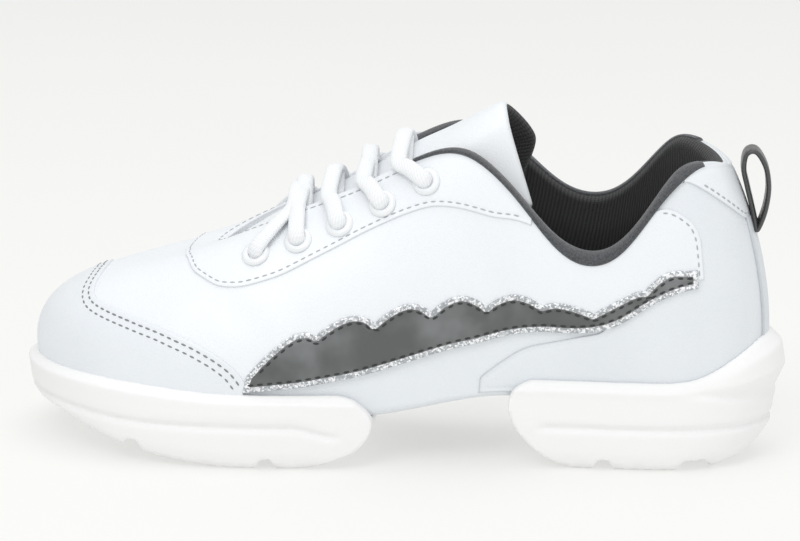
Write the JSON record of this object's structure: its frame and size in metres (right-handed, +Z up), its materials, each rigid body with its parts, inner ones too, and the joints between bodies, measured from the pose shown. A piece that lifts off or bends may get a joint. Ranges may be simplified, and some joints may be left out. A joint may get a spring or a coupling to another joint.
{
  "type": "dance sneaker",
  "caption": "Low white leather dance sneaker for the left foot, with a split sole under forefoot and heel, a padded mesh collar, flat laces and a heel pull loop.",
  "frame": {"origin": "on the floor, in the middle of the flat tread under the heel", "axes": "+X from heel to toe, +Y to the outer side of the left foot, +Z up"},
  "size_m": [0.2709, 0.1, 0.1211],
  "materials": {
    "leather": "smooth, semi-gloss",
    "sole_rubber": "matte moulded",
    "mesh_lining": "ribbed mesh",
    "lasting_cloth": "plain woven",
    "band_gloss": "dark patent gloss",
    "binding_felt": "dark grey felt",
    "eyelet_plastic": "glossy moulded",
    "lace_cloth": "flat woven"
  },
  "bodies": {
    "root": {"forefoot_sole": "sole_rubber", "heel_sole": "sole_rubber", "upper": "leather", "vamp_and_quarters": "leather", "eyestay": "leather", "heel_counter": "leather", "heel_tab": "leather", "side_band_lateral": "band_gloss", "side_band_medial": "band_gloss", "collar_binding_lateral": "binding_felt", "collar_binding_medial": "binding_felt", "tongue": "leather", "lasting_board": "lasting_cloth", "insole": "mesh_lining", "lace": "lace_cloth", "pull_loop": "band_gloss", "eyelet_lateral_1": "eyelet_plastic", "eyelet_lateral_2": "eyelet_plastic", "eyelet_lateral_3": "eyelet_plastic", "eyelet_lateral_4": "eyelet_plastic", "eyelet_lateral_5": "eyelet_plastic", "eyelet_medial_1": "eyelet_plastic", "eyelet_medial_2": "eyelet_plastic", "eyelet_medial_3": "eyelet_plastic", "eyelet_medial_4": "eyelet_plastic", "eyelet_medial_5": "eyelet_plastic"}
  },
  "joints": []
}
